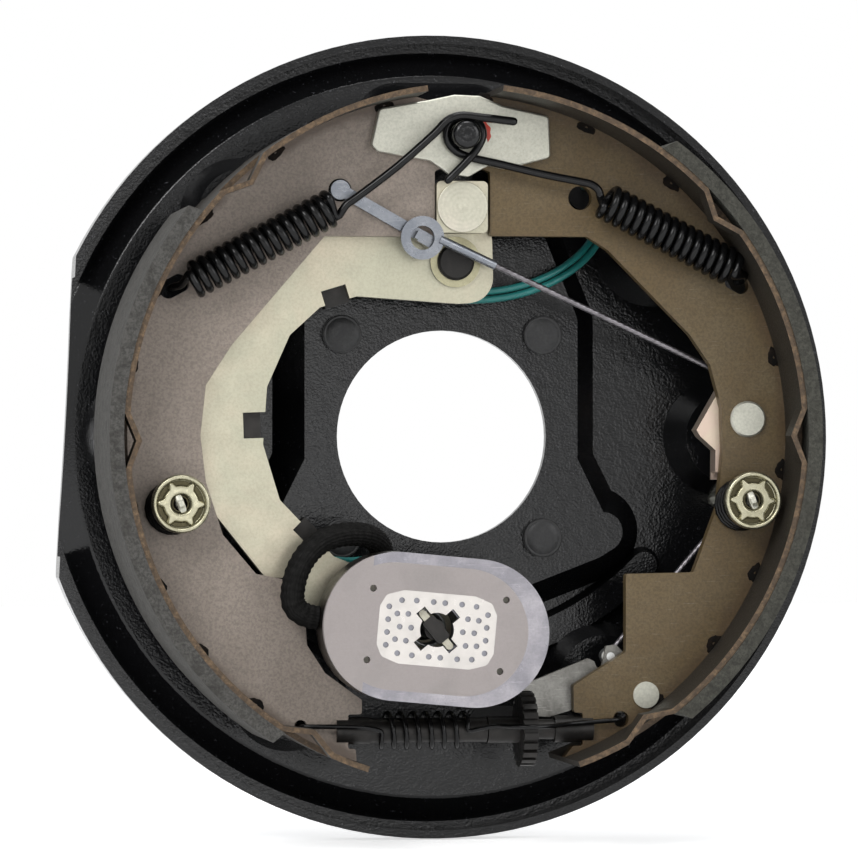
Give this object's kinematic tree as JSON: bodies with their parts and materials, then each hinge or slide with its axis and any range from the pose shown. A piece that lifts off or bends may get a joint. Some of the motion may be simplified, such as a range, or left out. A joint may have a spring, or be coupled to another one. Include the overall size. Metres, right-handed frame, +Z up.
{
  "type": "electric trailer drum brake assembly",
  "caption": "Electric drum brake for a trailer wheel: round backing plate with two lined shoes, return springs, self adjuster, lever and an oval electromagnet.",
  "frame": {"origin": "centre of the hub bore on the mounting face at the back of the plate", "axes": "+Y along the brake's axis away from the drum, +Z up to the anchor post, +X to the right seen from the drum"},
  "size_m": [0.2778, 0.0967, 0.2868],
  "materials": {
    "plate_paint": "gloss black enamel",
    "web_primary": "weathered taupe brown primer",
    "web_secondary": "weathered olive brown primer",
    "table_paint": "worn dark paint",
    "lining": "moulded friction material",
    "lever_paint": "yellow zinc plate",
    "zinc_gold": "gold zinc plate",
    "zinc_silver": "clear zinc plate",
    "dark_steel": "phosphated",
    "spring_black": "gloss black",
    "magnet_steel": "ground steel",
    "magnet_resin": "moulded resin",
    "copper": "enamelled winding",
    "rubber_black": "matt",
    "wire_green": "teal green insulation",
    "sleeve_grey": "braided"
  },
  "bodies": {
    "backing": {"backing_plate": "plate_paint", "mounting_studs": "zinc_gold", "anchor_post": "dark_steel", "anchor_plate": "dark_steel", "lever_pivot": "dark_steel", "hold_down_pins": "zinc_silver", "hold_down_cups": "zinc_gold", "hold_down_springs": "spring_black", "slot_plug": "rubber_black", "lead_grommet": "rubber_black", "lead_coil": "rubber_black", "magnet_lead_1": "wire_green", "magnet_lead_2": "wire_green", "adjuster_socket": "dark_steel", "primary_return_spring": "spring_black", "secondary_return_spring": "spring_black", "adjuster_spring": "spring_black"},
    "lever": {"actuating_lever": "lever_paint", "lever_bush": "dark_steel", "lead_clips": "dark_steel", "magnet_post": "dark_steel", "magnet_clip": "zinc_gold", "magnet_spring": "zinc_silver", "braided_sleeve": "sleeve_grey"},
    "cam": {"cam_block": "dark_steel"},
    "magnet": {"magnet_case": "magnet_steel", "magnet_pole": "magnet_steel", "magnet_coil": "copper", "magnet_facing": "magnet_resin"},
    "primary_shoe": {"primary_web": "web_primary", "primary_table": "table_paint", "primary_lining": "lining", "cable_link": "dark_steel", "cable_eyelet": "zinc_silver"},
    "secondary_shoe": {"secondary_web": "web_secondary", "secondary_table": "table_paint", "secondary_lining": "lining", "cable_guide": "zinc_gold", "guide_rivet": "zinc_silver", "adjusting_lever_pin": "zinc_silver", "adjuster_cable": "zinc_silver"},
    "star": {"star_wheel": "dark_steel"},
    "nut": {"adjuster_nut": "dark_steel"},
    "pawl": {"adjusting_lever": "zinc_silver", "cable_ferrule": "zinc_silver"}
  },
  "joints": [
    {"name": "lever_swing", "type": "hinge", "parent": "backing", "child": "lever", "pos_m": [0.0006, -0.0255, 0.0607], "axis": [0, -1, 0], "range_deg": [0, 3.3], "stiffness_Nm_per_rad": 30, "springref_deg": -1.15, "deforming": ["magnet_lead_1", "magnet_lead_2"]},
    {"name": "cam_turn", "type": "hinge", "parent": "lever", "child": "cam", "pos_m": [0.0019, -0.032, 0.0796], "axis": [0, -1, 0], "range_deg": [-3.4, 0]},
    {"name": "magnet_press", "type": "slide", "parent": "lever", "child": "magnet", "axis": [0, 1, 0], "range_m": [0, 0.003], "stiffness_N_per_m": 1500, "springref_m": -0.001, "deforming": ["magnet_spring", "braided_sleeve"]},
    {"name": "primary_shoe_out", "type": "hinge", "parent": "backing", "child": "primary_shoe", "pos_m": [-0.0379, -0.0315, -0.1024], "axis": [0, -1, 0], "range_deg": [0, 0.343], "deforming": ["primary_return_spring", "adjuster_spring"]},
    {"name": "star_turn", "type": "hinge", "parent": "backing", "child": "star", "pos_m": [0.0224, -0.0315, -0.1024], "axis": [1, 0, 0], "range_deg": [0, 720]},
    {"name": "nut_travel", "type": "slide", "parent": "backing", "child": "nut", "axis": [1, 0, 0], "range_m": [0, 0.0031]},
    {"name": "secondary_shoe_out", "type": "hinge", "parent": "backing", "child": "secondary_shoe", "pos_m": [0.0018, -0.0315, 0.1046], "axis": [0, -1, 0], "range_deg": [0, 0.84], "deforming": ["secondary_return_spring", "adjuster_cable"]},
    {"name": "adjusting_lever_lift", "type": "hinge", "parent": "secondary_shoe", "child": "pawl", "pos_m": [0.0674, -0.0277, -0.0906], "axis": [0, 1, 0], "range_deg": [0, 7]}
  ],
  "couplings": [
    {"joint": "cam_turn", "follows": "lever_swing", "ratio": -1},
    {"joint": "primary_shoe_out", "follows": "lever_swing", "ratio": 0.1036},
    {"joint": "nut_travel", "follows": "star_turn", "m_per_rad": 0.0002387},
    {"joint": "secondary_shoe_out", "follows": "star_turn", "ratio": 0.001153}
  ]
}
